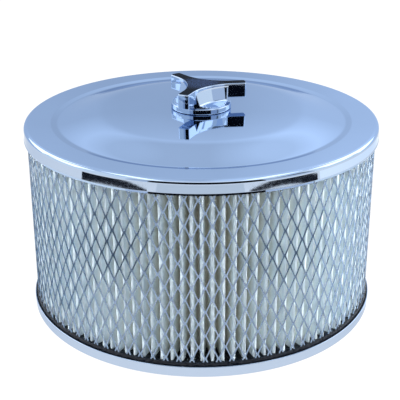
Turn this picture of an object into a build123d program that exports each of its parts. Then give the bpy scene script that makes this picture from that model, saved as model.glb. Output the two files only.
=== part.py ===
from build123d import *
import os
from math import atan2, cos, hypot, pi, radians, sin

# Round open-element air cleaner: a pressed base pan that sits over a carburettor's air horn,
# a pleated paper element, and a domed lid held by a tri-arm nut on a centre stud.
# Millimetres, +Z up. The origin is the centre of the base pan's underside.

# ---- shells ----
shell_radius = 81.0  # lid and base alike: 6 3/8 in across
sheet = 0.6  # pressed steel sheet
rim_top = 5.3  # top of the base pan's upturned rim
plateau_z = 2.4  # underside of the raised land round the throat
plateau_radius = 53.0
plateau_ramp = 3.0  # the land comes down to the rest face over this width
pan_bend_radius = 1.4
pan_corner_radius = 1.6
lid_top = 88.9  # flat outer ring of the lid: 3 1/2 in above the rest face
skirt_bottom = 82.6
skirt_corner_radius = 2.0
groove_outer_radius = 69.0  # the lid steps down here to the foot of its dome
groove_inner_radius = 66.0
groove_z = 87.7
seat_z = 93.3  # flat at the top of the dome, under the nut
seat_radius = 15.0
shoulder_radius = 45.0  # the dome is nearly flat out to here, then falls to its foot
shoulder_z = 92.4
stud_hole_radius = 3.6

# ---- filter element ----
cap_radius = 80.1
cap_bore = 65.5
cap_height = 6.3
bead_height = 1.7  # sealing bead moulded on each end cap
bead_inner_radius = 71.0
bead_outer_radius = 77.0
element_bottom = sheet
element_top = lid_top - sheet
outer_mesh_radius = 79.7
inner_mesh_radius = 66.2
mesh_thickness = 0.5
mesh_embed = 3.0  # depth that both metal cylinders sink into each end cap
pleat_count = 120
pleat_tip_radius = 78.9
pleat_root_radius = 67.2
pleat_wall = 2.6  # measured along a radius: about 0.45 mm of paper square to its face
clip_radius = 68.2
clip_depth = 2.8
clip_width = 1.4

# ---- throat ----
throat_radius = 33.35  # for a 2 5/8 in air horn
lining_radius = 35.3
lining_bottom = 0.4
lining_top = 15.5
lining_lip_radius = 37.5
lining_foot_radius = 40.0
throat_lead_in = 0.6
sleeve_sheet = 0.9
sleeve_top = 14.0
sleeve_flange_radius = 51.0

# ---- bridge and stud ----
bridge_width = 14.0
bridge_thickness = 2.0
bridge_underside = 25.0
bridge_leg_x = 39.0
bridge_end_x = 50.0
bridge_bend_radius = 2.5
foot_bend_radius = 2.5
rivet_x = 46.2
rivet_y = 3.5
rivet_radius = 1.5
rivet_head_radius = 2.6
rivet_head_height = 1.3
rivet_head_fillet = 1.0
rivet_tail_height = 1.2
bridge_hole_clearance = 0.2
stud_radius = 3.175  # 1/4-20 thread, major diameter
stud_bottom = 16.8
stud_top = 101.3
stud_chamfer = 0.6
hex_across_flats = 11.11
hex_height = 5.56
lock_washer_radius = 5.6
lock_washer_bore = 3.45
lock_washer_height = 1.6
lock_washer_split = 0.8

# ---- tri-arm nut ----
nut_bottom = 93.4
nut_top = 104.5
arm_underside = 97.8
arm_tip_radius = 20.7
arm_tip_crown = 0.5  # each arm's end face bulges by this much
arm_half_width = 2.6
arm_straight_from = 13.5
waist_radius = 6.5
first_arm_angle = 7.0
nut_flange_radius = 13.7
nut_flange_height = 2.6
nut_hub_radius = 12.3  # three scoops narrow the hub between the arms
nut_hub_top = 103.9
scoop_flare_top = 97.5  # a scoop's wall leans a little above this height and flares out below it
scoop_foot_reach = 12.9  # distance from the axis to the middle of a scoop, at its foot
scoop_flare_reach = 7.9
scoop_top_reach = 6.2
nut_edge_fillet = 0.4
nut_recess_radius = 10.0
nut_recess_height = 1.3
insert_radius = 4.8
insert_bore = 3.235  # 0.06 mm of running clearance on the stud
insert_top = 102.2
seal_radius = 9.5
seal_bore = 4.2

os.makedirs("parts", exist_ok=True)


def ring_points(inner, outer, low, high):
    """Corners of the rectangle that turns into a plain ring."""
    return [(inner, low), (outer, low), (outer, high), (inner, high)]


def write_part(solid, name):
    """Labels a finished piece and writes it under its node's name."""
    solid.label = name
    export_step(solid, f"parts/{name}.step")


# ---- base pan: flat ring that rests on the floor, raised land round the throat, upturned rim ----
with BuildPart() as base_pan:
    with BuildSketch(Plane.XZ):
        with BuildLine():
            FilletPolyline(
                (lining_radius, plateau_z),
                (plateau_radius, plateau_z),
                (plateau_radius + plateau_ramp, 0.0),
                (shell_radius, 0.0),
                (shell_radius, rim_top),
                radius=[pan_bend_radius, pan_bend_radius, pan_corner_radius],
            )
            offset(amount=sheet, side=Side.LEFT)
        make_face()
    revolve(axis=Axis.Z)
    with GridLocations(2 * rivet_x, 2 * rivet_y, 2, 2):
        Hole(rivet_radius)
write_part(base_pan.part, "base_pan")

# ---- throat sleeve: flanged collar that stands inside the pan ----
flange_bottom = plateau_z + sheet
flange_top = flange_bottom + sleeve_sheet
with BuildPart() as throat_sleeve:
    with BuildSketch(Plane.XZ):
        with BuildLine():
            Polyline(
                (lining_radius, flange_bottom),
                (sleeve_flange_radius, flange_bottom),
                (sleeve_flange_radius, flange_top),
                (lining_radius + sleeve_sheet, flange_top),
                (lining_radius + sleeve_sheet, sleeve_top),
                (lining_radius, sleeve_top),
                close=True,
            )
        make_face()
    revolve(axis=Axis.Z)
    with GridLocations(2 * rivet_x, 2 * rivet_y, 2, 2):
        Hole(rivet_radius)
write_part(throat_sleeve.part, "throat_sleeve")

# ---- rubber lining: grips the air horn, with a lip over the sleeve and a foot under the pan ----
with BuildPart() as throat_lining:
    with BuildSketch(Plane.XZ):
        with BuildLine():
            Polyline(
                (throat_radius, lining_bottom + throat_lead_in),
                (throat_radius + throat_lead_in, lining_bottom),
                (lining_foot_radius, lining_bottom),
                (lining_foot_radius, plateau_z),
                (lining_radius, plateau_z),
                (lining_radius, sleeve_top),
                (lining_lip_radius, sleeve_top),
                (lining_lip_radius, lining_top),
                (throat_radius, lining_top),
                close=True,
            )
        make_face()
    revolve(axis=Axis.Z)
write_part(throat_lining.part, "throat_lining")

# ---- bridge: bent strap across the throat that carries the stud ----
bridge_top = bridge_underside + bridge_thickness
with BuildPart() as stud_bridge:
    with BuildSketch(Plane.XZ):
        with BuildLine():
            FilletPolyline(
                (-bridge_end_x, flange_top),
                (-bridge_leg_x, flange_top),
                (-bridge_leg_x, bridge_underside),
                (bridge_leg_x, bridge_underside),
                (bridge_leg_x, flange_top),
                (bridge_end_x, flange_top),
                radius=[foot_bend_radius, bridge_bend_radius, bridge_bend_radius, foot_bend_radius],
            )
            offset(amount=bridge_thickness, side=Side.LEFT)
        make_face()
    extrude(amount=bridge_width / 2, both=True)
    Hole(stud_radius + bridge_hole_clearance)
    with GridLocations(2 * rivet_x, 2 * rivet_y, 2, 2):
        Hole(rivet_radius)
write_part(stud_bridge.part, "stud_bridge")

# ---- rivets: domed head on the bridge's foot, flat head under the pan ----
foot_top = flange_top + bridge_thickness
with BuildPart() as bridge_rivets:
    with BuildSketch(Plane.XY.offset(plateau_z - rivet_tail_height)):
        with GridLocations(2 * rivet_x, 2 * rivet_y, 2, 2):
            Circle(rivet_head_radius)
    extrude(amount=rivet_tail_height)
    with BuildSketch(Plane.XY.offset(plateau_z)):
        with GridLocations(2 * rivet_x, 2 * rivet_y, 2, 2):
            Circle(rivet_radius)
    extrude(amount=foot_top - plateau_z)
    with BuildSketch(Plane.XY.offset(foot_top)):
        with GridLocations(2 * rivet_x, 2 * rivet_y, 2, 2):
            Circle(rivet_head_radius)
    extrude(amount=rivet_head_height)
    head_rims = bridge_rivets.edges().filter_by(GeomType.CIRCLE).group_by(Axis.Z)[-1]
    fillet(head_rims, radius=rivet_head_fillet)
write_part(bridge_rivets.part, "bridge_rivets")

# ---- centre stud, its lock nuts above and below the bridge, and their lock washers ----
with BuildPart() as center_stud:
    with BuildSketch(Plane.XY.offset(stud_bottom)):
        Circle(stud_radius)
    extrude(amount=stud_top - stud_bottom)
    chamfer(center_stud.edges().filter_by(GeomType.CIRCLE), length=stud_chamfer)
write_part(center_stud.part, "center_stud")

washer_floors = [bridge_underside - lock_washer_height, bridge_top]
nut_floors = [washer_floors[0] - hex_height, bridge_top + lock_washer_height]
with BuildPart() as stud_lock_nuts:
    for floor in nut_floors:
        with BuildSketch(Plane.XY.offset(floor)):
            RegularPolygon(radius=hex_across_flats / 2, side_count=6, major_radius=False)
            Circle(stud_radius, mode=Mode.SUBTRACT)
        extrude(amount=hex_height)
write_part(stud_lock_nuts.part, "stud_lock_nuts")

with BuildPart() as stud_lock_washers:
    for floor in washer_floors:
        with BuildSketch(Plane.XY.offset(floor)):
            Circle(lock_washer_radius)
            Circle(lock_washer_bore, mode=Mode.SUBTRACT)
            with Locations((lock_washer_radius, 0)):
                Rectangle(2 * lock_washer_radius, lock_washer_split, mode=Mode.SUBTRACT)
        extrude(amount=lock_washer_height)
write_part(stud_lock_washers.part, "stud_lock_washers")


# ---- end caps: moulded rings that hold the paper and both metal cylinders ----
def end_cap(outer_face, direction):
    """One moulded ring. Its bead starts at outer_face and its body grows in direction along Z."""
    body_start = outer_face + direction * bead_height
    body_end = outer_face + direction * cap_height
    slot_end = body_end - direction * mesh_embed
    with BuildPart() as cap:
        with BuildSketch(Plane.XZ):
            with BuildLine():
                Polyline(*ring_points(cap_bore, cap_radius, body_start, body_end), close=True)
            make_face()
            with BuildLine():
                Polyline(
                    *ring_points(bead_inner_radius, bead_outer_radius, outer_face, body_start), close=True
                )
            make_face()
            with BuildLine():
                Polyline(
                    *ring_points(outer_mesh_radius - mesh_thickness, outer_mesh_radius, slot_end, body_end),
                    close=True,
                )
            make_face(mode=Mode.SUBTRACT)
            with BuildLine():
                Polyline(
                    *ring_points(inner_mesh_radius, inner_mesh_radius + mesh_thickness, slot_end, body_end),
                    close=True,
                )
            make_face(mode=Mode.SUBTRACT)
        revolve(axis=Axis.Z)
    return cap.part


bottom_cap_solid = end_cap(element_bottom, 1)
write_part(bottom_cap_solid, "bottom_end_cap")
top_cap_solid = end_cap(element_top, -1)
write_part(top_cap_solid, "top_end_cap")

# ---- the two expanded-metal cylinders, as plain tubes of the sheet's full thickness ----
media_bottom = element_bottom + cap_height
media_top = element_top - cap_height
mesh_bottom = media_bottom - mesh_embed
mesh_height = media_top - media_bottom + 2 * mesh_embed
with BuildPart() as outer_mesh:
    with BuildSketch(Plane.XY.offset(mesh_bottom)):
        Circle(outer_mesh_radius)
        Circle(outer_mesh_radius - mesh_thickness, mode=Mode.SUBTRACT)
    extrude(amount=mesh_height)
write_part(outer_mesh.part, "outer_mesh")

with BuildPart() as inner_mesh:
    with BuildSketch(Plane.XY.offset(mesh_bottom)):
        Circle(inner_mesh_radius + mesh_thickness)
        Circle(inner_mesh_radius, mode=Mode.SUBTRACT)
    extrude(amount=mesh_height)
write_part(inner_mesh.part, "inner_mesh")


# ---- pleated paper: a closed zigzag band between the two cylinders ----
def zigzag(tip, root):
    """Corners of a closed zigzag about the axis, with one tip and one root for each pleat."""
    corners = []
    for step in range(2 * pleat_count):
        angle = pi * step / pleat_count
        radius = tip if step % 2 == 0 else root
        corners.append((radius * cos(angle), radius * sin(angle)))
    return corners


with BuildPart() as pleated_paper:
    with BuildSketch(Plane.XY.offset(media_bottom)):
        with BuildLine():
            Polyline(*zigzag(pleat_tip_radius, pleat_root_radius + pleat_wall), close=True)
        make_face()
        with BuildLine():
            Polyline(*zigzag(pleat_tip_radius - pleat_wall, pleat_root_radius), close=True)
        make_face(mode=Mode.SUBTRACT)
    extrude(amount=media_top - media_bottom)
write_part(pleated_paper.part, "pleated_paper")

# ---- lid: flat outer ring, shallow groove, domed centre with a flat seat, and a short skirt ----
dome_start = (seat_radius, seat_z)
dome_shoulder = (shoulder_radius, shoulder_z)
dome_foot = (groove_inner_radius, groove_z)
corner_start = (shell_radius - skirt_corner_radius, lid_top)
corner_end = (shell_radius, lid_top - skirt_corner_radius)
with BuildPart() as lid:
    with BuildSketch(Plane.XZ):
        with BuildLine():
            Line((stud_hole_radius, seat_z), dome_start)
            crown = TangentArc(dome_start, dome_shoulder, tangent=(1, 0))
            TangentArc(dome_shoulder, dome_foot, tangent=crown % 1)
            Line(dome_foot, (groove_outer_radius, lid_top))
            Line((groove_outer_radius, lid_top), corner_start)
            RadiusArc(corner_start, corner_end, skirt_corner_radius)
            Line(corner_end, (shell_radius, skirt_bottom))
            offset(amount=sheet, side=Side.RIGHT)
        make_face()
    revolve(axis=Axis.Z)
write_part(lid.part, "lid")

# ---- tri-arm nut: round flange, scooped hub, three straight arms joined by hollow curves ----
def turned(x, y, angle):
    """The point (x, y) turned about the axis by an angle in degrees."""
    a = radians(angle)
    return (x * cos(a) - y * sin(a), x * sin(a) + y * cos(a))


arm_corner_radius = arm_tip_radius - arm_tip_crown
arm_angles = (first_arm_angle, first_arm_angle + 120, first_arm_angle + 240)
hollow_end = hypot(arm_straight_from, arm_half_width)
hollow_turn = radians(60) - atan2(arm_half_width, arm_straight_from)
hollow_sag = hollow_end * cos(hollow_turn) - waist_radius
hollow_radius = ((hollow_end * sin(hollow_turn)) ** 2 + hollow_sag**2) / (2 * hollow_sag)
hollow_centre = waist_radius + hollow_radius
scoop_bottom = nut_bottom + nut_flange_height
with BuildPart() as wing_nut:
    with BuildSketch(Plane.XY.offset(nut_bottom)):
        Circle(nut_hub_radius)
    extrude(amount=nut_hub_top - nut_bottom)
    for low, high, low_reach, high_reach in (
        (scoop_bottom, scoop_flare_top, scoop_foot_reach, scoop_flare_reach),
        (scoop_flare_top, nut_hub_top, scoop_flare_reach, scoop_top_reach),
    ):
        with Locations([(*turned(hollow_centre, 0, angle + 60), low) for angle in arm_angles]):
            Cone(
                bottom_radius=hollow_centre - low_reach,
                top_radius=hollow_centre - high_reach,
                height=high - low,
                align=(Align.CENTER, Align.CENTER, Align.MIN),
                mode=Mode.SUBTRACT,
            )
    with BuildSketch(Plane.XY.offset(nut_bottom)):
        Circle(nut_flange_radius)
    extrude(amount=nut_flange_height)
    with BuildSketch(Plane.XY.offset(arm_underside)):
        with BuildLine():
            for arm_angle in arm_angles:
                Line(
                    turned(arm_straight_from, -arm_half_width, arm_angle),
                    turned(arm_corner_radius, -arm_half_width, arm_angle),
                )
                ThreePointArc(
                    turned(arm_corner_radius, -arm_half_width, arm_angle),
                    turned(arm_tip_radius, 0, arm_angle),
                    turned(arm_corner_radius, arm_half_width, arm_angle),
                )
                Line(
                    turned(arm_corner_radius, arm_half_width, arm_angle),
                    turned(arm_straight_from, arm_half_width, arm_angle),
                )
                ThreePointArc(
                    turned(arm_straight_from, arm_half_width, arm_angle),
                    turned(waist_radius, 0, arm_angle + 60),
                    turned(arm_straight_from, -arm_half_width, arm_angle + 120),
                )
        make_face()
    extrude(amount=nut_top - arm_underside)
    fillet(wing_nut.edges().group_by(Axis.Z)[-1], radius=nut_edge_fillet)
    with BuildSketch(Plane.XY.offset(nut_bottom)):
        Circle(nut_recess_radius)
    extrude(amount=nut_recess_height, mode=Mode.SUBTRACT)
    with BuildSketch(Plane.XY.offset(nut_bottom)):
        Circle(insert_radius)
    extrude(amount=insert_top - nut_bottom, mode=Mode.SUBTRACT)
write_part(wing_nut.part, "wing_nut")

with BuildPart() as nut_insert:
    with BuildSketch(Plane.XY.offset(nut_bottom + nut_recess_height)):
        Circle(insert_radius)
        Circle(insert_bore, mode=Mode.SUBTRACT)
    extrude(amount=insert_top - nut_bottom - nut_recess_height)
write_part(nut_insert.part, "nut_insert")

with BuildPart() as nut_seal_washer:
    with BuildSketch(Plane.XY.offset(seat_z)):
        Circle(seal_radius)
        Circle(seal_bore, mode=Mode.SUBTRACT)
    extrude(amount=nut_bottom + nut_recess_height - seat_z)
write_part(nut_seal_washer.part, "nut_seal_washer")

# ---- clip crimped over the fold where the two ends of the pleat pack meet ----
clip_angle = 90 + 180 / pleat_count
with BuildPart() as pleat_seam_clip:
    with BuildSketch(Plane.XY.offset(media_bottom).rotated((0, 0, clip_angle))):
        with Locations((clip_radius, 0)):
            Rectangle(clip_depth, clip_width)
    extrude(amount=media_top - media_bottom)
write_part(pleat_seam_clip.part, "pleat_seam_clip")
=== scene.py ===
"""Looks of the round air cleaner: chrome shells, pleated paper in expanded metal, tri-arm nut.

Metres, +Z up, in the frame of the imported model. MM turns the small sizes below into metres.
"""

import random
from math import atan2, cos, floor, hypot, pi, radians, sin

import bmesh
import bpy
from mathutils import Euler, Matrix, Quaternion, Vector


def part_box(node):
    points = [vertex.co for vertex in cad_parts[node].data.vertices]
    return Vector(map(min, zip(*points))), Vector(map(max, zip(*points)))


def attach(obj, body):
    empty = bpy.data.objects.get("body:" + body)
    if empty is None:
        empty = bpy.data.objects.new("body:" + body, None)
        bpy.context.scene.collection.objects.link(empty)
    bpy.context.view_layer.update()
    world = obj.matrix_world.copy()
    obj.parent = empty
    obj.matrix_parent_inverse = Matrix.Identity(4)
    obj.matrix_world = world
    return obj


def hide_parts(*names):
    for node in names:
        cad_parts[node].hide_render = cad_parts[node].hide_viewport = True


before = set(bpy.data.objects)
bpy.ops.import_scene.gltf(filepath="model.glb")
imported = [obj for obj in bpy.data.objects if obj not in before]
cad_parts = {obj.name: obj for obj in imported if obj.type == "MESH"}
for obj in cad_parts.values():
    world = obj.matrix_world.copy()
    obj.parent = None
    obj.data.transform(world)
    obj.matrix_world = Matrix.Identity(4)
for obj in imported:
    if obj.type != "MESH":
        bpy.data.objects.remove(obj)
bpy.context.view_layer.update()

MM = 0.001
TURN = 2 * pi


# ---------------------------------------------------------------- sizes read from the frame
def reach(node):
    """Outer radius of a round node."""
    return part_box(node)[1].x


def low(node):
    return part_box(node)[0].z


def high(node):
    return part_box(node)[1].z


shell_radius = reach("lid")
cap_radius = reach("bottom_end_cap")
sheet = 0.6 * MM
lid_ring_top = high("top_end_cap") + sheet
cap_bore = 65.5 * MM
dome_top = high("lid")
nut_low = low("wing_nut")
nut_high = high("wing_nut")


# ---------------------------------------------------------------- mesh helpers
def new_piece(name, verts, faces, material, body, stands_for=()):
    """Makes a mesh object, gives it its material and joins it to a body of the frame."""
    mesh = bpy.data.meshes.new(name)
    mesh.from_pydata([tuple(v) for v in verts], [], faces)
    mesh.validate()
    piece = bpy.data.objects.new(name, mesh)
    bpy.context.scene.collection.objects.link(piece)
    mesh.materials.append(material)
    face_outwards(piece)
    shade(piece)
    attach(piece, body)
    if stands_for:
        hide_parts(*stands_for)
    return piece


def face_outwards(piece):
    bm = bmesh.new()
    bm.from_mesh(piece.data)
    bmesh.ops.recalc_face_normals(bm, faces=bm.faces)
    bm.to_mesh(piece.data)
    bm.free()


def shade(piece, crease=radians(40)):
    """Smooth faces, with edges sharper than the crease angle kept crisp."""
    bm = bmesh.new()
    bm.from_mesh(piece.data)
    for face in bm.faces:
        face.smooth = True
    for edge in bm.edges:
        edge.smooth = len(edge.link_faces) != 2 or edge.calc_face_angle(0) < crease
    bm.to_mesh(piece.data)
    bm.free()


def rounded(points, radii, closed=False, steps=6, support=0.12 * MM):
    """A path with its corners rounded. A short support point on each side keeps flats flat."""
    path = []
    count = len(points)
    for i, point in enumerate(points):
        here = Vector(point)
        radius = radii[i]
        if radius <= 0 or (not closed and i in (0, count - 1)):
            path.append(here)
            continue
        before = (Vector(points[i - 1]) - here).normalized()
        after = (Vector(points[(i + 1) % count]) - here).normalized()
        half = before.angle(after) / 2
        reach_back = radius / abs(sin(half)) * cos(half)
        centre = here + (before + after).normalized() * (radius / sin(half))
        start = here + before * reach_back
        end = here + after * reach_back
        path.append(start + before * support)
        first = start - centre
        turn = atan2(first.cross(end - centre), first.dot(end - centre))
        for step in range(steps + 1):
            angle = turn * step / steps
            path.append(centre + Vector((
                first.x * cos(angle) - first.y * sin(angle),
                first.x * sin(angle) + first.y * cos(angle),
            )))
        path.append(end + after * support)
    return path


def offset_path(path, distance):
    """The same open path moved sideways, to its left for a positive distance."""
    moved = []
    for i, point in enumerate(path):
        back = (point - path[i - 1]).normalized() if i else None
        on = (path[i + 1] - point).normalized() if i + 1 < len(path) else None
        a, b = back or on, on or back
        normal = Vector((-a.y - b.y, a.x + b.x)).normalized()
        lean = normal.dot(Vector((-a.y, a.x)))
        moved.append(point + normal * distance / max(lean, 0.5))
    return moved


def lathe(name, section, material, body, stands_for=(), segments=256, solid=False):
    """Turns a closed section of (radius, height) points about the Z axis.

    A solid section starts and ends on the axis instead of closing on itself.
    """
    verts, faces = [], []
    ends = [section[0], section[-1]] if solid else []
    ring = section[1:-1] if solid else section
    count = len(ring)
    for s in range(segments):
        angle = TURN * s / segments
        for point in ring:
            verts.append((point[0] * cos(angle), point[0] * sin(angle), point[1]))
    poles = [len(verts) + i for i in range(len(ends))]
    verts += [(0, 0, point[1]) for point in ends]
    for s in range(segments):
        here, there = s * count, (s + 1) % segments * count
        for i in range(count - 1 if solid else count):
            j = (i + 1) % count
            faces.append((here + i, there + i, there + j, here + j))
        if solid:
            faces.append((poles[0], there, here))
            faces.append((here + count - 1, there + count - 1, poles[1]))
    return new_piece(name, verts, faces, material, body, stands_for)


def sheet_section(path, thickness):
    """Closed section of pressed sheet that follows a path and grows to its left."""
    return list(path) + list(reversed(offset_path(path, thickness)))


# ---------------------------------------------------------------- material helpers
class Nodes:
    """A material's node tree with short ways to add and join nodes."""

    def __init__(self, name):
        self.material = bpy.data.materials.new(name)
        self.material.use_nodes = True
        self.tree = self.material.node_tree
        self.shader = self.tree.nodes["Principled BSDF"]

    def add(self, kind, inputs=None, **settings):
        node = self.tree.nodes.new(kind)
        for key, value in settings.items():
            setattr(node, key, value)
        for key, value in (inputs or {}).items():
            node.inputs[key].default_value = value
        return node

    def join(self, source, target):
        self.tree.links.new(source, target)

    def coords(self, scale=(1, 1, 1)):
        place = self.add("ShaderNodeTexCoord")
        mapping = self.add("ShaderNodeMapping")
        mapping.inputs["Scale"].default_value = scale
        self.join(place.outputs["Object"], mapping.inputs["Vector"])
        return mapping.outputs["Vector"]

    def noise(self, scale, detail=3.0, roughness=0.5, stretch=(1, 1, 1)):
        noise = self.add("ShaderNodeTexNoise", {"Scale": scale, "Detail": detail, "Roughness": roughness})
        self.join(self.coords(stretch), noise.inputs["Vector"])
        return noise.outputs["Fac"]

    def ramp(self, value, stops):
        ramp = self.add("ShaderNodeValToRGB")
        elements = ramp.color_ramp.elements
        while len(elements) < len(stops):
            elements.new(0.5)
        for element, (position, color) in zip(elements, stops):
            element.position = position
            element.color = (*color, 1)
        self.join(value, ramp.inputs["Fac"])
        return ramp.outputs["Color"]

    def span(self, value, low_out, high_out, low_in=0.0, high_in=1.0):
        span = self.add("ShaderNodeMapRange", {
            "From Min": low_in, "From Max": high_in, "To Min": low_out, "To Max": high_out,
        })
        self.join(value, span.inputs["Value"])
        return span.outputs["Result"]

    def math(self, operation, first, second):
        node = self.add("ShaderNodeMath", operation=operation)
        for i, value in enumerate((first, second)):
            if isinstance(value, (int, float)):
                node.inputs[i].default_value = value
            else:
                self.join(value, node.inputs[i])
        return node.outputs["Value"]

    def bump(self, height, strength, distance):
        bump = self.add("ShaderNodeBump", {"Strength": strength, "Distance": distance})
        self.join(height, bump.inputs["Height"])
        self.join(bump.outputs["Normal"], self.shader.inputs["Normal"])

    def radius(self):
        """Distance from the Z axis, in metres."""
        split = self.add("ShaderNodeSeparateXYZ")
        self.join(self.coords(), split.inputs["Vector"])
        square_x = self.math("MULTIPLY", split.outputs["X"], split.outputs["X"])
        square_y = self.math("MULTIPLY", split.outputs["Y"], split.outputs["Y"])
        return self.math("SQRT", self.math("ADD", square_x, square_y), 0.0)

    def set(self, **values):
        for key, value in values.items():
            self.shader.inputs[key.replace("_", " ")].default_value = value


# Partly the plating's own colour, partly a painted blue cast that stands for the reflected surroundings.
CHROME_WITH_PAINTED_BLUE = (0.50, 0.60, 0.755)


def chrome(name, tint=CHROME_WITH_PAINTED_BLUE, roughness=0.035, wear=0.03):
    """Bright plating: cloudy polish, and fine wiping marks that only the gloss shows. Its blue colour is
    partly the plating's own and partly a painted blue cast of the reflected surroundings.
    """
    n = Nodes(name)
    n.set(Metallic=1.0, Specular_Tint=(0.74, 0.79, 0.87, 1))
    cloud = n.noise(22.0, 4.0, 0.55)
    dark = tuple(c * 0.965 for c in tint)
    n.join(n.ramp(cloud, [(0.3, dark), (0.7, tint)]), n.shader.inputs["Base Color"])
    marks = n.noise(900.0, 2.0, 0.6, stretch=(1.0, 0.06, 1.0))
    rough = n.math("MULTIPLY", n.span(marks, 0.0, wear, 0.45, 0.75), n.span(cloud, 0.5, 1.5, 0.3, 0.7))
    n.join(n.math("ADD", rough, roughness), n.shader.inputs["Roughness"])
    n.bump(marks, 0.02, 0.02 * MM)
    return n.material


def painted_dark_reflection():
    """Dark top with a fine orange-peel skin, painted to stand for a reflection of dark surroundings: slate
    near the centre, deepening to black along the arms.
    """
    n = Nodes("painted_dark_reflection")
    skin = n.noise(650.0, 3.0, 0.6)
    # Painted reflection by radius: slate near the centre, black out along the arms, with a little skin noise.
    out = n.math("ADD", n.span(n.radius(), 0.0, 1.0, 4.5 * MM, 13 * MM), n.span(skin, -0.12, 0.12))
    slate, black = (0.015, 0.027, 0.066), (0.000, 0.001, 0.004)
    n.join(n.ramp(out, [(0.05, slate), (0.75, black)]), n.shader.inputs["Base Color"])
    n.join(n.span(skin, 0.14, 0.30), n.shader.inputs["Roughness"])
    n.set(Specular_IOR_Level=0.01, Specular_Tint=(0.12, 0.16, 0.26, 1))
    n.bump(skin, 0.2, 0.03 * MM)
    return n.material


def zinc_steel():
    """Zinc-plated steel: pale grey with drawn grain and faint spangle."""
    n = Nodes("zinc_steel")
    n.set(Metallic=1.0)
    spangle = n.noise(160.0, 3.0, 0.6)
    color = n.ramp(spangle, [(0.3, (0.42, 0.42, 0.40)), (0.7, (0.66, 0.65, 0.60))])
    n.join(color, n.shader.inputs["Base Color"])
    grain = n.noise(1400.0, 2.0, 0.6, stretch=(0.05, 1.0, 1.0))
    n.join(n.span(grain, 0.26, 0.46), n.shader.inputs["Roughness"])
    n.bump(grain, 0.12, 0.03 * MM)
    return n.material


def brass():
    """Turned brass with fine tool rings."""
    n = Nodes("brass_insert")
    n.set(Metallic=1.0)
    tarnish = n.noise(300.0, 3.0, 0.6)
    color = n.ramp(tarnish, [(0.3, (0.52, 0.38, 0.15)), (0.75, (0.80, 0.62, 0.28))])
    n.join(color, n.shader.inputs["Base Color"])
    rings = n.noise(2500.0, 1.0, 0.5, stretch=(0.02, 0.02, 1.0))
    n.join(n.span(rings, 0.18, 0.34), n.shader.inputs["Roughness"])
    n.bump(rings, 0.1, 0.02 * MM)
    return n.material


def rubber():
    """Moulded black rubber with a fine matt skin."""
    n = Nodes("black_rubber")
    skin = n.noise(700.0, 4.0, 0.6)
    color = n.ramp(skin, [(0.3, (0.010, 0.010, 0.011)), (0.8, (0.030, 0.030, 0.032))])
    n.join(color, n.shader.inputs["Base Color"])
    n.join(n.span(skin, 0.5, 0.72), n.shader.inputs["Roughness"])
    n.bump(skin, 0.25, 0.05 * MM)
    return n.material


def plastisol():
    """Poured black plastisol: glossy, slightly lumpy, with small pits that glint."""
    n = Nodes("black_plastisol")
    lumps = n.noise(420.0, 3.0, 0.6)
    color = n.ramp(lumps, [(0.3, (0.002, 0.003, 0.006)), (0.8, (0.006, 0.009, 0.016))])
    n.join(color, n.shader.inputs["Base Color"])
    n.join(n.span(lumps, 0.10, 0.24), n.shader.inputs["Roughness"])
    n.set(Specular_IOR_Level=0.28)
    pits = n.add("ShaderNodeTexVoronoi", {"Scale": 620.0, "Randomness": 1.0})
    n.join(n.coords(), pits.inputs["Vector"])
    dent = n.span(pits.outputs["Distance"], 0.0, 0.7, 0.0, 0.55)
    n.bump(n.math("ADD", dent, lumps), 0.9, 0.45 * MM)
    return n.material


def expanded_metal():
    """Bright rolled sheet after slitting and stretching, a little dulled. Its blue-grey colour is partly a
    painted blue cast that stands for the reflected surroundings.
    """
    n = Nodes("expanded_metal")
    n.set(Metallic=1.0)
    cloud = n.noise(120.0, 3.0, 0.6)
    color = n.ramp(cloud, [(0.3, (0.21, 0.29, 0.41)), (0.75, (0.31, 0.40, 0.54))])
    n.join(color, n.shader.inputs["Base Color"])
    grain = n.noise(1800.0, 2.0, 0.6, stretch=(1.0, 1.0, 0.08))
    n.join(n.span(grain, 0.10, 0.22), n.shader.inputs["Roughness"])
    n.bump(grain, 0.10, 0.02 * MM)
    return n.material


def filter_paper():
    """Resin-treated filter paper: off-white fibres, with painted light by radius: brighter and warmer deep in
    the folds, standing for light that passes through the paper, and darker, bluer crests that stand for the
    cool light on them.
    """
    n = Nodes("filter_paper")
    fibres = n.noise(1500.0, 5.0, 0.7, stretch=(1.0, 1.0, 0.35))
    mottle = n.noise(90.0, 3.0, 0.5)
    # Painted light: the colour follows the distance from the axis, pale deep in the folds and blue-grey at
    # the crests.
    depth = n.span(n.radius(), 0.0, 1.0, 70.5 * MM, 77.6 * MM)
    painted_light_and_mottle = n.math("ADD", depth, n.span(mottle, -0.12, 0.12))
    deep, middle, crest = (0.90, 0.90, 0.82), (0.86, 0.91, 0.89), (0.63, 0.73, 0.80)
    n.join(n.ramp(painted_light_and_mottle, [(0.0, deep), (0.6, middle), (1.0, crest)]), n.shader.inputs["Base Color"])
    n.set(Roughness=0.85)
    n.bump(fibres, 0.35, 0.06 * MM)
    return n.material


# ---------------------------------------------------------------- camera and studio
def glow_material(name, strength, color=(1.0, 1.0, 1.0)):
    """A surface that gives off an even light, with a faint grain."""
    n = Nodes(name)
    grain = n.noise(5.0, 2.0, 0.5)
    glow = n.ramp(grain, [(0.0, tuple(0.99 * c for c in color)), (1.0, color)])
    n.join(glow, n.shader.inputs["Emission Color"])
    n.set(Base_Color=(0.03, 0.03, 0.03, 1), Roughness=1.0, Specular_IOR_Level=0.0, Emission_Strength=strength)
    return n.material


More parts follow.
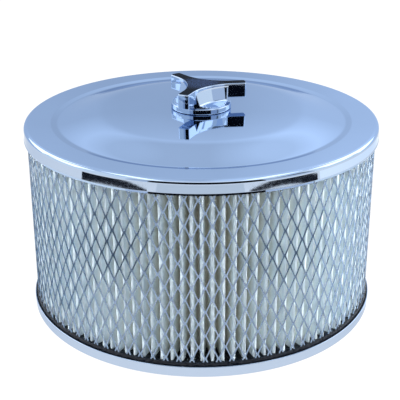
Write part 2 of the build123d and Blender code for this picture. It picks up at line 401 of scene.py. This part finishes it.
def backdrop_material():
    """Pale blue paper lit more strongly towards its right end."""
    n = Nodes("studio_backdrop")
    split = n.add("ShaderNodeSeparateXYZ")
    n.join(n.coords(), split.inputs["Vector"])
    along = n.span(split.outputs["X"], 0.0, 1.0, -0.30, 0.30)
    levels = [(0.0, 1.15), (0.28, 1.08), (0.36, 1.0), (0.53, 1.0), (0.65, 1.18), (0.72, 1.30), (1.0, 1.36)]
    color = n.ramp(along, [(at, (0.49 * k, 0.585 * k, 0.73 * k)) for at, k in levels])
    n.join(color, n.shader.inputs["Emission Color"])
    rise = n.span(split.outputs["Y"], 1.14, 1.47, -0.42, -0.30)
    fall = n.span(split.outputs["Y"], 0.0, -0.26, -0.29, -0.20)
    n.join(n.math("ADD", rise, fall), n.shader.inputs["Emission Strength"])
    n.set(Base_Color=(0.0, 0.0, 0.0, 1), Roughness=1.0, Specular_IOR_Level=0.0)
    return n.material


def flag_material():
    n = Nodes("studio_flag")
    n.set(Base_Color=(0.004, 0.005, 0.008, 1), Roughness=1.0, Specular_IOR_Level=0.0)
    return n.material


def plane(name, width, depth, location, rotation, material):
    mesh = bpy.data.meshes.new(name)
    x, y = width / 2, depth / 2
    mesh.from_pydata([(-x, -y, 0), (x, -y, 0), (x, y, 0), (-x, y, 0)], [], [(0, 1, 2, 3)])
    obj = bpy.data.objects.new(name, mesh)
    obj.location = location
    obj.rotation_euler = rotation
    mesh.materials.append(material)
    bpy.context.scene.collection.objects.link(obj)
    return obj


def floor_card(name, outline, material):
    """A flat card that lies on the floor, cut to an outline in millimetres."""
    mesh = bpy.data.meshes.new(name)
    mesh.from_pydata([(x * MM, y * MM, 1 * MM) for x, y in outline], [], [tuple(range(len(outline)))])
    card = bpy.data.objects.new(name, mesh)
    mesh.materials.append(material)
    bpy.context.scene.collection.objects.link(card)
    return reflection_only(card)


def reflection_only(obj):
    """A card out of the camera's view that polished metal sees."""
    obj.visible_camera = False
    obj.visible_diffuse = False
    obj.visible_shadow = False
    obj.visible_transmission = False
    return obj


def area_light(name, location, target, size_x, size_y, power):
    data = bpy.data.lights.new(name, "AREA")
    data.shape = "RECTANGLE"
    data.size, data.size_y = size_x, size_y
    data.energy = power
    light = bpy.data.objects.new(name, data)
    light.location = location
    light.rotation_mode = "QUATERNION"
    light.rotation_quaternion = (Vector(target) - Vector(location)).to_track_quat("-Z", "Y")
    light.visible_camera = False
    light.visible_glossy = False
    bpy.context.scene.collection.objects.link(light)


# Bands that bend round the object: tone, side, degrees off the front at both ends, and the
# radii in millimetres of the outer and the inner edge at the start, middle and end.
FLOOR_BANDS = {
    "floor_card_left": ("flag", -1, (28.5, 68.5), (281, 296, 298), (272, 278, 272)),
    "floor_card_near_left": ("grey", -1, (29, 65.5), (265, 270, 267), (190, 160, 181)),
    "floor_card_right": ("flag", 1, (25, 66), (281, 295, 286), (273, 281, 266)),
    "floor_card_near_right": ("light_grey", 1, (25.5, 65), (260, 270, 259), (179, 162, 168)),
}
# Straight-edged cards: tone and corners in millimetres.
FLOOR_CARDS = {
    "floor_card_side_left": ("side_grey", [
        (-92, -60), (-165, -75), (-243, -110), (-236, -57), (-226, 49), (-168, 133), (-84, 24),
    ]),
    "floor_card_front": ("front_grey", [
        (-112, -247), (-120, -300), (0, -330), (112, -306), (108, -256), (0, -262),
    ]),
    "floor_card_bright_right": ("bright", [
        (74, -50), (190, -66), (242, -98), (270, -112), (294, -50),
        (296, 0), (280, 110), (205, 200), (122, 225), (84, 8),
    ]),
}
SIDES = (("left", -1), ("right", 1))
UPRIGHT = radians(90)
FACING_FRONT = (UPRIGHT, 0, 0)
FACING_SIDE = (UPRIGHT, 0, UPRIGHT)
FRONT_Y = -1.4
FRONT_DEPTH = 1.05
FRONT_HEIGHT = 0.53
CEILING_WIDTH = 3.0
CEILING_HEIGHT = 1.32


def build_world():
    scene = bpy.context.scene
    scene.view_settings.view_transform = "Standard"
    world = bpy.data.worlds.new("studio")
    world.use_nodes = True
    background = world.node_tree.nodes["Background"]
    background.inputs["Color"].default_value = (0.80, 0.90, 1.0, 1)
    background.inputs["Strength"].default_value = 0.30
    scene.world = world


def build_walls():
    """Pale floor and four far walls that only the camera sees."""
    plane("floor", 8.0, 8.0, (0, 0, 0), (0, 0, 0), glow_material("studio_floor", 1.03))
    white = glow_material("studio_wall", 1.03)
    for wall_name, x, y, turn in (("wall_back", 0, 4, 0), ("wall_front", 0, -4, 0),
                                  ("wall_left", -4, 0, 90), ("wall_right", 4, 0, 90)):
        wall = plane(wall_name, 8.0, 4.0, (x, y, 2.0), (UPRIGHT, 0, radians(turn)), white)
        wall.visible_diffuse = wall.visible_glossy = wall.visible_shadow = False


def front_card(name, width, x, material):
    place = (x, FRONT_Y, FRONT_HEIGHT)
    reflection_only(plane(name, width, FRONT_DEPTH, place, FACING_FRONT, material))


def build_upright_cards(flag):
    """Cards round the object, each seen only as a reflection in the chrome."""
    reflection_only(plane("backdrop", 3.0, 1.3, (0, 0.42, 0.652), FACING_FRONT, backdrop_material()))
    front_card("flag_front", 1.93, 0.115, flag)
    low_glow = glow_material("studio_low_glow", 1.0, (0.62, 0.72, 0.88))
    front_card("front_card_right", 2.82, 2.49, low_glow)
    front_card("front_card_left", 1.6, -1.65, low_glow)
    sides = glow_material("studio_sides", 1.1, (0.86, 0.94, 1.0))
    back_end = 0.8
    for (side_name, turn), start in zip(SIDES, (-1.10, -0.42)):
        length = back_end - start
        place = (turn * 1.1, start + length / 2, 0.652)
        reflection_only(plane("side_card_" + side_name, length, 1.3, place, FACING_SIDE, sides))
    rim_light = glow_material("studio_rim_light", 2.3, (0.95, 0.98, 1.0))
    for side_name, turn in SIDES:
        back, side = (turn * 0.86, 0.41, 0.53), (turn * 1.08, 0.10, 0.80)
        reflection_only(plane("rim_card_back_" + side_name, 0.9, 0.62, back, FACING_FRONT, rim_light))
        reflection_only(plane("rim_card_side_" + side_name, 0.5, 0.70, side, FACING_SIDE, rim_light))


def smooth_edge(radii, share):
    """The radius at a share of the way along an edge: a parabola through its three radii."""
    first, middle, last = radii
    start, end = first * (1 - share) * (1 - 2 * share), last * share * (2 * share - 1)
    return start + 4 * middle * share * (1 - share) + end


def band_outline(side, ends, outer, inner, steps=16):
    """Outline of a band between two smooth edges. Side is -1 for left and 1 for right."""
    outline = []
    for radii, order in ((outer, range(steps + 1)), (inner, range(steps, -1, -1))):
        for step in order:
            share = step / steps
            angle = radians(ends[0] + (ends[1] - ends[0]) * share)
            radius = smooth_edge(radii, share)
            outline.append((side * radius * sin(angle), -radius * cos(angle)))
    return outline


def build_floor_cards(flag):
    tones = {
        "flag": flag,
        "grey": glow_material("studio_grey", 0.22, (0.62, 0.82, 1.0)),
        "light_grey": glow_material("studio_light_grey", 0.32, (0.70, 0.86, 1.0)),
        "side_grey": glow_material("studio_side_grey", 0.50, (0.74, 0.88, 1.0)),
        "front_grey": glow_material("studio_front_grey", 0.86, (0.93, 0.97, 1.0)),
        "bright": glow_material("studio_bright", 1.34, (0.94, 0.98, 1.0)),
    }
    for card_name, (tone, side, ends, outer, inner) in FLOOR_BANDS.items():
        floor_card(card_name, band_outline(side, ends, outer, inner), tones[tone])
    for card_name, (tone, outline) in FLOOR_CARDS.items():
        floor_card(card_name, outline, tones[tone])


def build_ceiling():
    pale = glow_material("studio_ceiling", 1.25, (0.90, 0.96, 1.0))
    front, back = (0, -1.05, CEILING_HEIGHT), (0, 0.025, CEILING_HEIGHT)
    reflection_only(plane("ceiling_front", CEILING_WIDTH, 0.70, front, (0, 0, 0), pale))
    bright = glow_material("studio_strips", 2.2, (0.92, 0.97, 1.0))
    for side_name, turn in SIDES:
        place = (turn * 0.62, -0.30, 1.30)
        reflection_only(plane("ceiling_strip_" + side_name, 0.30, 1.2, place, (0, 0, 0), bright))
    reflection_only(plane("ceiling_back", CEILING_WIDTH, 1.45, back, (0, 0, 0), backdrop_material()))


def build_studio():
    build_world()
    build_walls()
    flag = flag_material()
    build_upright_cards(flag)
    build_floor_cards(flag)
    build_ceiling()
    area_light("softbox_top", (0, -0.1, 1.1), (0, 0, 0), 1.3, 1.0, 6.0)
    area_light("softbox_right", (1.05, -0.25, 0.5), (0, 0, 0.05), 0.8, 0.8, 28.0)
    area_light("softbox_left", (-1.05, -0.35, 0.5), (0, 0, 0.05), 0.8, 0.8, 20.0)


def build_camera():
    """A lens 0.42 m in front and 0.22 m up, looking down at the object."""
    look_down, roll_angle = 22.857, -0.17
    data = bpy.data.cameras.new("camera")
    data.sensor_width = 36.0
    data.lens = 85.85
    data.clip_start = 0.01
    data.clip_end = 50.0
    camera = bpy.data.objects.new("camera", data)
    camera.location = (-0.66 * MM, -419.65 * MM, 223.72 * MM)
    tilt = Euler((radians(90 - look_down), 0, 0)).to_quaternion()
    roll = Quaternion((0, 0, 1), radians(roll_angle))
    camera.rotation_mode = "QUATERNION"
    camera.rotation_quaternion = tilt @ roll
    bpy.context.scene.collection.objects.link(camera)
    bpy.context.scene.camera = camera


# ---------------------------------------------------------------- chrome lid and base pan
def dome_height(r, seat, foot, foot_height):
    """Height of the lid at radius r: a gentle crown, then a steeper fall that is smooth with it."""
    shoulder, shoulder_drop = 45 * MM, 0.9 * MM
    crown = shoulder - seat
    if r <= shoulder:
        return dome_top - shoulder_drop * ((r - seat) / crown) ** 2
    span = foot - shoulder
    share = (r - shoulder) / span
    slope = 2 * shoulder_drop / crown * span
    fall = dome_top - shoulder_drop - foot_height
    foot_slope = 0.75 * fall
    ease = share ** 2 * (3 - 2 * share)
    start = slope * share * (1 - share) ** 2
    end = foot_slope * share ** 2 * (1 - share)
    return dome_top - shoulder_drop - fall * ease - start + end


def build_lid(material):
    groove_low = lid_ring_top - 0.6 * MM
    seat = 15 * MM
    foot = 65.6 * MM
    path = [Vector((3.6 * MM, dome_top)), Vector((6 * MM, dome_top)), Vector((seat - 1 * MM, dome_top))]
    steps = 48
    for step in range(steps):
        reach_out = seat + (foot - seat) * step / steps
        path.append(Vector((reach_out, dome_height(reach_out, seat, foot, groove_low))))
    wall = shell_radius - 0.15 * MM
    edge = [
        path.pop(),
        (foot, groove_low),
        (foot + 3.0 * MM, lid_ring_top),
        (wall, lid_ring_top),
        (wall, low("lid") + 0.75 * MM),
        (wall + 0.22 * MM, low("lid")),
    ]
    radii = [0, 3.8 * MM, 2.6 * MM, 1.9 * MM, 0.4 * MM, 0]
    path += rounded([tuple(p) for p in edge], radii, steps=8)
    section = sheet_section(path, -0.55 * MM)
    lathe("lid_shell", section, material, "lid", ["lid"], segments=360)


def build_base_pan(material):
    rim = high("base_pan")
    throat, step_top = 35.3 * MM, 2.4 * MM
    points = [
        (throat, step_top),
        (53 * MM, step_top),
        (56 * MM, 0),
        (shell_radius, 0),
        (shell_radius, rim),
    ]
    path = rounded(points, [0, 1.4 * MM, 1.4 * MM, 1.6 * MM, 0], steps=8)
    inside = shell_radius - sheet
    lip = [tuple(path[-2]), (shell_radius, rim), (inside, rim), (inside, rim - 2 * MM)]
    section = path[:-1] + rounded(lip, [0, 0.25 * MM, 0.25 * MM, 0], steps=5)[1:-1]
    section += list(reversed(offset_path(path[:-1], sheet)))
    lathe("base_pan_shell", section, material, "base", ["base_pan"], segments=360)


# ---------------------------------------------------------------- tri-arm nut
FIRST_ARM = radians(7)
ARM_GAP = radians(120)
ARM_UNDERSIDE = 97.8 * MM
FLANGE_TOP = nut_low + 2.6 * MM
RECESS_TOP = nut_low + 1.3 * MM
INSERT_RADIUS = 4.8 * MM
INSERT_TOP = 102.2 * MM
HOLLOW_CENTRE = 29.34 * MM  # from the axis to the middle of the arc that hollows each scoop


def nut_outline():
    """Three straight arms joined by hollow curves, as (x, y) points."""
    tip, straight, half, waist, crown = 20.8 * MM, 13.5 * MM, 2.6 * MM, 6.5 * MM, 0.6 * MM
    outline = []
    for arm in range(3):
        angle = FIRST_ARM + ARM_GAP * arm
        turn = Matrix.Rotation(angle, 2)
        corner = [(straight, -half), (tip - crown, -half), (tip, 0), (tip - crown, half), (straight, half)]
        arm_path = rounded(corner, [0, 0.7 * MM, 7 * MM, 0.7 * MM, 0], steps=8)
        outline += [turn @ p for p in arm_path]
        start = turn @ Vector((straight, half))
        middle = Matrix.Rotation(angle + ARM_GAP / 2, 2) @ Vector((waist, 0))
        end = Matrix.Rotation(angle + ARM_GAP, 2) @ Vector((straight, -half))
        outward = middle.normalized()
        chord = (end - start) / 2
        sag = (start + chord).dot(outward) - waist
        curve = (chord.length ** 2 + sag ** 2) / (2 * sag)
        centre = outward * (waist + curve)
        begin = start - centre
        swing = atan2(begin.cross(end - centre), begin.dot(end - centre))
        for step in range(1, 18):
            outline.append(centre + Matrix.Rotation(-swing * step / 18, 2).transposed() @ begin)
    return outline


def inset(outline, distance):
    """A closed outline moved inwards by a distance."""
    moved = []
    count = len(outline)
    for i, point in enumerate(outline):
        a = (point - outline[i - 1]).normalized()
        b = (outline[(i + 1) % count] - point).normalized()
        normal = Vector((-a.y - b.y, a.x + b.x)).normalized()
        lean = max(normal.dot(Vector((-a.y, a.x))), 0.5)
        moved.append(point + normal * distance / lean)
    return moved


def build_nut_hub(material):
    """Round flange and hub. Three scoops narrow the hub upwards between the arms."""
    flange, hub, waist, recess = 13.7 * MM, 12.3 * MM, 6.2 * MM, 10 * MM
    foot, top = FLANGE_TOP, nut_high - 0.6 * MM
    step_up = 0.3 * MM
    scoop_start, flare_height = 12.9 * MM, 1.6 * MM
    lower = rounded(
        [
            (recess, RECESS_TOP),
            (recess, nut_low),
            (flange, nut_low),
            (flange, foot),
            (hub, foot),
            (hub, foot + step_up),
        ],
        [0, 0.3 * MM, 0.5 * MM, 0.5 * MM, 0.1 * MM, 0],
        steps=5,
    )
    rows = [(point.x, point.y) for point in lower]
    wall_steps = 24
    for step in range(1, wall_steps + 1):
        rows.append((hub, foot + step_up + (top - foot - step_up) * step / wall_steps))
    around = 360
    verts, faces = [], []
    for radius, z in rows:
        lean = waist + 0.27 * (top - z)
        flare = max(0.0, 1 - (z - foot) / flare_height) ** 2
        scoop = HOLLOW_CENTRE - lean - (scoop_start - lean) * flare
        for k in range(around):
            angle = TURN * k / around
            aside = (angle - FIRST_ARM - ARM_GAP / 2 + TURN / 6) % ARM_GAP - TURN / 6
            here = radius
            inside = scoop ** 2 - (HOLLOW_CENTRE * sin(aside)) ** 2
            if z > foot and inside > 0:
                here = min(radius, HOLLOW_CENTRE * cos(aside) - inside ** 0.5)
            verts.append((here * cos(angle), here * sin(angle), z))
    for row in range(len(rows) - 1):
        for k in range(around):
            j = (k + 1) % around
            here, above = row * around, (row + 1) * around
            faces.append((here + k, here + j, above + j, above + k))
    verts += [(0, 0, rows[0][1]), (0, 0, rows[-1][1])]
    last = (len(rows) - 1) * around
    for k in range(around):
        j = (k + 1) % around
        faces.append((j, k, len(verts) - 2))
        faces.append((last + k, last + j, len(verts) - 1))
    return new_piece("nut_hub", verts, faces, material, "nut")


def build_nut(material, top_material):
    outline = nut_outline()
    base, top, bevel = ARM_UNDERSIDE, nut_high, 0.38 * MM
    levels = []
    for step in range(5):
        angle = radians(90) * step / 4
        levels.append((bevel * (1 - sin(angle)), base + bevel * (1 - cos(angle))))
    levels.append((0, base + bevel * 1.6))
    levels.append((0, top - bevel * 1.6))
    for step in range(5):
        angle = radians(90) * step / 4
        levels.append((bevel * (1 - cos(angle)), top - bevel + bevel * sin(angle)))
    levels.insert(0, (bevel + 0.15 * MM, base))
    levels.append((bevel + 0.15 * MM, top))
    verts, faces = [], []
    count = len(outline)
    for amount, z in levels:
        verts += [(p.x, p.y, z) for p in inset(outline, amount)]
    for level in range(len(levels) - 1):
        for i in range(count):
            j = (i + 1) % count
            here, above = level * count, (level + 1) * count
            faces.append((here + i, here + j, above + j, above + i))
    faces.append(tuple(reversed(range(count))))
    faces.append(tuple((len(levels) - 1) * count + i for i in range(count)))
    arms = new_piece("wing_nut_body", verts, faces, material, "nut", ["wing_nut"])

    hub_piece = build_nut_hub(material)
    below = nut_low - 5 * MM
    bore = [(0, below), (INSERT_RADIUS, below), (INSERT_RADIUS, INSERT_TOP), (0, INSERT_TOP)]
    cutter = lathe("nut_bore", bore, material, "nut", segments=64, solid=True)
    for tool, operation in ((hub_piece, "UNION"), (cutter, "DIFFERENCE")):
        modifier = arms.modifiers.new(operation.lower(), "BOOLEAN")
        modifier.operation = operation
        modifier.object = tool
        modifier.solver = "EXACT"
    bpy.context.view_layer.update()
    depsgraph = bpy.context.evaluated_depsgraph_get()
    final = bpy.data.meshes.new_from_object(arms.evaluated_get(depsgraph))
    arms.modifiers.clear()
    arms.data = final
    for tool in (hub_piece, cutter):
        bpy.data.objects.remove(tool)
    shade(arms)
    if len(final.materials) < 2:
        final.materials.append(top_material)
    # The flat top faces take the dark top material, a painted reflection of dark surroundings.
    for face in final.polygons:
        if face.center.z > top - 0.05 * MM and face.normal.z > 0.9:
            face.material_index = 1


# ---------------------------------------------------------------- filter element
def build_end_caps(material):
    for name, body_z, outer_z in (("bottom_end_cap", high("bottom_end_cap"), low("bottom_end_cap")),
                                  ("top_end_cap", low("top_end_cap"), high("top_end_cap"))):
        way = 1 if outer_z < body_z else -1
        start = outer_z + way * 1.7 * MM
        points = [
            (cap_bore, start),
            (71 * MM, start),
            (71.8 * MM, outer_z),
            (76.2 * MM, outer_z),
            (77 * MM, start),
            (cap_radius, start),
            (cap_radius, body_z),
            (cap_bore, body_z),
        ]
        radii = [0.8 * MM, 0.6 * MM, 0.7 * MM, 0.7 * MM, 0.6 * MM, 0.8 * MM, 0.7 * MM, 0.7 * MM]
        section = rounded(points, radii, closed=True, steps=5)
        lathe(name + "_ring", section, material, "element", [name], segments=256)


CELL_HEIGHT = 11.0 * MM
NODE_ANGLE = radians(1.0)  # where one bond between strands sits, round the cylinder and up it
NODE_HEIGHT = 8.6 * MM
STRAND_STEPS = 5
BOND = 0.34 * MM
SHEET_TILT = 0.035 * MM
SHEET_THICK = 0.32 * MM
SOFT_CORNER = 1.85


def rounded_power(value, power):
    """A power that keeps its sign: it draws a diamond with softened corners from sine and cosine."""
    return abs(value) ** power * (1 if value >= 0 else -1)


def build_mesh_cylinder(node, inset_by, columns, strand, material, faces_out):
    """Expanded metal rolled into a cylinder: one frame of four strands round each diamond hole."""
    bottom, top = low(node), high(node)
    radius = reach(node) - inset_by
    pitch = TURN / columns
    half_x, half_z = pitch * radius / 2, CELL_HEIGHT / 2
    side = hypot(half_x, half_z)
    hole_x = half_x - strand / 2 * side / half_z - BOND
    hole_z = half_z - strand / 2 * side / half_x
    corners = [(0, half_z), (half_x, 0), (0, -half_z), (-half_x, 0)]
    outer, inner = [], []
    for k in range(4):
        for step in range(STRAND_STEPS):
            t = step / STRAND_STEPS
            a, b = corners[k], corners[(k + 1) % 4]
            outer.append((a[0] + (b[0] - a[0]) * t, a[1] + (b[1] - a[1]) * t))
            swing = pi / 2 * (k + t)
            inner.append((
                hole_x * rounded_power(sin(swing), SOFT_CORNER),
                hole_z * rounded_power(cos(swing), SOFT_CORNER),
            ))

    index, verts, faces = {}, [], []

    def vertex(x, z, lift):
        key = (round(x / radius / TURN * 1e6) % 1000000, round(z * 1e7), round(lift * 1e7))
        if key not in index:
            index[key] = len(verts)
            angle = x / radius
            r = radius + lift
            verts.append((r * sin(angle), -r * cos(angle), z))
        return index[key]

    first = floor((bottom - NODE_HEIGHT) / half_z) - 1
    last = floor((top - NODE_HEIGHT) / half_z) + 2
    for row in range(first, last + 1):
        centre_z = NODE_HEIGHT + row * half_z
        stagger = 0.5 * pitch * (row % 2) + 0.5 * pitch
        for column in range(columns):
            centre_x = (NODE_ANGLE + stagger + column * pitch) * radius
            ring_out, ring_in = [], []
            for (ox, oz), (ix, iz) in zip(outer, inner):
                ring_out.append(vertex(centre_x + ox, centre_z + oz, 0.0))
                lean = SHEET_TILT * max(-1.0, min(1.0, iz / (0.25 * half_z)))
                ring_in.append(vertex(centre_x + ix, centre_z + iz, lean))
            total = len(outer)
            for i in range(total):
                j = (i + 1) % total
                faces.append((ring_out[i], ring_out[j], ring_in[j], ring_in[i]))
    piece = new_piece(node + "_sheet", verts, faces, material, "element", [node])
    bm = bmesh.new()
    bm.from_mesh(piece.data)
    bmesh.ops.remove_doubles(bm, verts=bm.verts, dist=0.005 * MM)
    for height, way in ((bottom, -1), (top, 1)):
        everything = bm.verts[:] + bm.edges[:] + bm.faces[:]
        bmesh.ops.bisect_plane(
            bm, geom=everything, plane_co=(0, 0, height), plane_no=(0, 0, way), clear_outer=True)
    for face in bm.faces:
        out = face.calc_center_median().xy.dot(face.normal.xy)
        if (out > 0) != faces_out:
            face.normal_flip()
    bm.to_mesh(piece.data)
    bm.free()
    modifier = piece.modifiers.new("sheet", "SOLIDIFY")
    modifier.thickness = SHEET_THICK
    modifier.offset = -1.0
    bpy.context.view_layer.update()
    depsgraph = bpy.context.evaluated_depsgraph_get()
    piece_mesh = bpy.data.meshes.new_from_object(piece.evaluated_get(depsgraph))
    piece.modifiers.clear()
    piece.data = piece_mesh
    shade(piece, radians(35))


def build_paper(material):
    """Pleated band with flat crests, uneven pitch and a slow lean, closed on itself."""
    rng = random.Random(11)
    pleats = 120
    tip, root = 78.55 * MM, 67.6 * MM
    bottom, top = low("pleated_paper"), high("pleated_paper")
    crest, trough, thick = 0.75 * MM, 0.8 * MM, 0.42 * MM
    angles, total = [], 0.0
    for i in range(pleats):
        share = i / pleats
        step = 1.0 + 0.10 * sin(TURN * share * 3 + 0.6) + 0.06 * rng.uniform(-1, 1)
        angles.append(total)
        total += step
    angles = [a * TURN / total for a in angles]
    leans = [0.22 * sin(TURN * i / pleats * 2 + 1.0) + 0.08 * rng.uniform(-1, 1) for i in range(pleats)]
    phases = [rng.uniform(0, TURN) for _ in range(2 * pleats)]
    heights = 14
    rows = []
    for level in range(heights + 1):
        z = bottom + (top - bottom) * level / heights
        corners, radii = [], []
        for i in range(pleats):
            here = angles[i]
            gap = (angles[(i + 1) % pleats] - here) % TURN
            wave = 0.10 * MM * sin(z / (13 * MM) + phases[2 * i])
            dip = 0.10 * MM * sin(z / (17 * MM) + phases[2 * i + 1])
            for edge in (-0.5, 0.5):
                a = here + (edge * crest + wave) / tip
                corners.append(((tip + dip) * sin(a), -(tip + dip) * cos(a)))
                radii.append(0.26 * MM)
            middle = here + gap * (0.5 + 0.5 * leans[i])
            for edge in (-0.5, 0.5):
                a = middle + edge * trough / root
                corners.append((root * sin(a), -root * cos(a)))
                radii.append(0.28 * MM)
        rows.append(rounded(corners, radii, closed=True, steps=3, support=0.2 * MM))
    count = len(rows[0])
    verts, faces = [], []
    for side in (0.5, -0.5):
        for level, row in enumerate(rows):
            z = bottom + (top - bottom) * level / heights
            verts += [(p.x, p.y, z) for p in inset(row, side * thick)]
    sheet_size = count * (heights + 1)
    for level in range(heights):
        for i in range(count):
            j = (i + 1) % count
            a, b = level * count + i, level * count + j
            faces.append((a, b, b + count, a + count))
            faces.append((sheet_size + a, sheet_size + a + count, sheet_size + b + count, sheet_size + b))
    for level in (0, heights):
        for i in range(count):
            j = (i + 1) % count
            a, b = level * count + i, level * count + j
            faces.append((a, b, sheet_size + b, sheet_size + a))
    new_piece("pleat_pack", verts, faces, material, "element", ["pleated_paper"])


# ---------------------------------------------------------------- threaded stud
def build_stud(material):
    """Centre stud with a real helical thread."""
    pitch, depth = 1.27 * MM, 0.62 * MM
    major = 3.175 * MM
    bottom, top = low("center_stud"), high("center_stud")
    around, per_turn = 32, 8
    rows = int((top - bottom) / pitch * per_turn)
    verts, faces = [], []
    for row in range(rows + 1):
        z = bottom + (top - bottom) * row / rows
        end_taper = min(1.0, (z - bottom) / pitch, (top - z) / pitch)
        for k in range(around):
            angle = TURN * k / around
            phase = (z / pitch - k / around) % 1.0
            dip = min(max(abs(phase - 0.5) * 2 * 1.25 - 0.125, 0.0), 1.0)
            r = major - depth * dip - 0.5 * MM * (1 - end_taper)
            verts.append((r * cos(angle), r * sin(angle), z))
    for row in range(rows):
        for k in range(around):
            a, b = row * around + k, row * around + (k + 1) % around
            faces.append((a, b, b + around, a + around))
    faces.append(tuple(reversed(range(around))))
    faces.append(tuple(rows * around + k for k in range(around)))
    new_piece("threaded_stud", verts, faces, material, "base", ["center_stud"])


def dress_cad_nodes(finishes):
    """Gives each CAD node that stays in view its procedural finish."""
    for node, material in finishes.items():
        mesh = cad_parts[node].data
        mesh.materials.clear()
        mesh.materials.append(material)


# ---------------------------------------------------------------- the whole scene
build_camera()
build_studio()

plating = chrome("chrome")
nut_plating = chrome("chrome_nut")
nut_top = painted_dark_reflection()
zinc = zinc_steel()
black_rubber = rubber()

build_lid(plating)
build_base_pan(plating)
build_nut(nut_plating, nut_top)
build_end_caps(plastisol())
strands = expanded_metal()
build_mesh_cylinder("outer_mesh", 0.12 * MM, 90, 0.42 * MM, strands, faces_out=True)
build_mesh_cylinder("inner_mesh", 0.35 * MM, 76, 0.62 * MM, strands, faces_out=False)
build_paper(filter_paper())
build_stud(zinc)
dress_cad_nodes({
    "throat_sleeve": zinc,
    "stud_bridge": zinc,
    "bridge_rivets": zinc,
    "stud_lock_nuts": zinc,
    "stud_lock_washers": zinc,
    "pleat_seam_clip": zinc,
    "throat_lining": black_rubber,
    "nut_seal_washer": black_rubber,
    "nut_insert": brass(),
})
